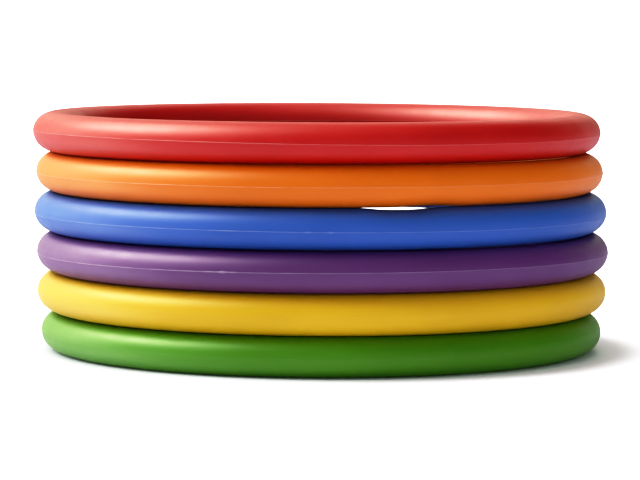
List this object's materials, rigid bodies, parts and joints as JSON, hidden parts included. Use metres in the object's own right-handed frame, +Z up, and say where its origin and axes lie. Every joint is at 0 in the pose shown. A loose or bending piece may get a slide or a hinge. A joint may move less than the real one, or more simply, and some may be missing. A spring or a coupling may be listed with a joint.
{
  "type": "toss ring set",
  "caption": "Stack of smooth, hollow moulded plastic toss rings in different colours, resting one on another; each ring lifts off the one below.",
  "frame": {"origin": "centre of the stack's footprint, on the surface that the lowest ring rests on", "axes": "+Z up, along the axis of the rings; +X to the right and +Y away from the viewer in the picture's view"},
  "size_m": [0.1537, 0.1533, 0.0633],
  "materials": {
    "green_plastic": "satin, smooth moulded polyethylene with a fine orange-peel surface",
    "yellow_plastic": "satin, smooth moulded polyethylene with a fine orange-peel surface",
    "purple_plastic": "satin, smooth moulded polyethylene with a fine orange-peel surface",
    "blue_plastic": "satin, smooth moulded polyethylene with a fine orange-peel surface",
    "orange_plastic": "satin, smooth moulded polyethylene with a fine orange-peel surface",
    "red_plastic": "satin, smooth moulded polyethylene with a fine orange-peel surface"
  },
  "bodies": {
    "green_ring": {"green_ring_lower_shell": "green_plastic", "green_ring_upper_shell": "green_plastic"},
    "yellow_ring": {"yellow_ring_lower_shell": "yellow_plastic", "yellow_ring_upper_shell": "yellow_plastic"},
    "purple_ring": {"purple_ring_lower_shell": "purple_plastic", "purple_ring_upper_shell": "purple_plastic"},
    "blue_ring": {"blue_ring_lower_shell": "blue_plastic", "blue_ring_upper_shell": "blue_plastic"},
    "orange_ring": {"orange_ring_lower_shell": "orange_plastic", "orange_ring_upper_shell": "orange_plastic"},
    "red_ring": {"red_ring_lower_shell": "red_plastic", "red_ring_upper_shell": "red_plastic"}
  },
  "joints": [
    {"name": "yellow_ring_lift", "type": "slide", "parent": "green_ring", "child": "yellow_ring", "axis": [0, 0, 1], "range_m": [0, 0.03]},
    {"name": "purple_ring_lift", "type": "slide", "parent": "yellow_ring", "child": "purple_ring", "axis": [0, 0, 1], "range_m": [0, 0.03]},
    {"name": "blue_ring_lift", "type": "slide", "parent": "purple_ring", "child": "blue_ring", "axis": [0, 0, 1], "range_m": [0, 0.03]},
    {"name": "orange_ring_lift", "type": "slide", "parent": "blue_ring", "child": "orange_ring", "axis": [0, 0, 1], "range_m": [0, 0.03]},
    {"name": "red_ring_lift", "type": "slide", "parent": "orange_ring", "child": "red_ring", "axis": [0, 0, 1], "range_m": [0, 0.03]}
  ]
}
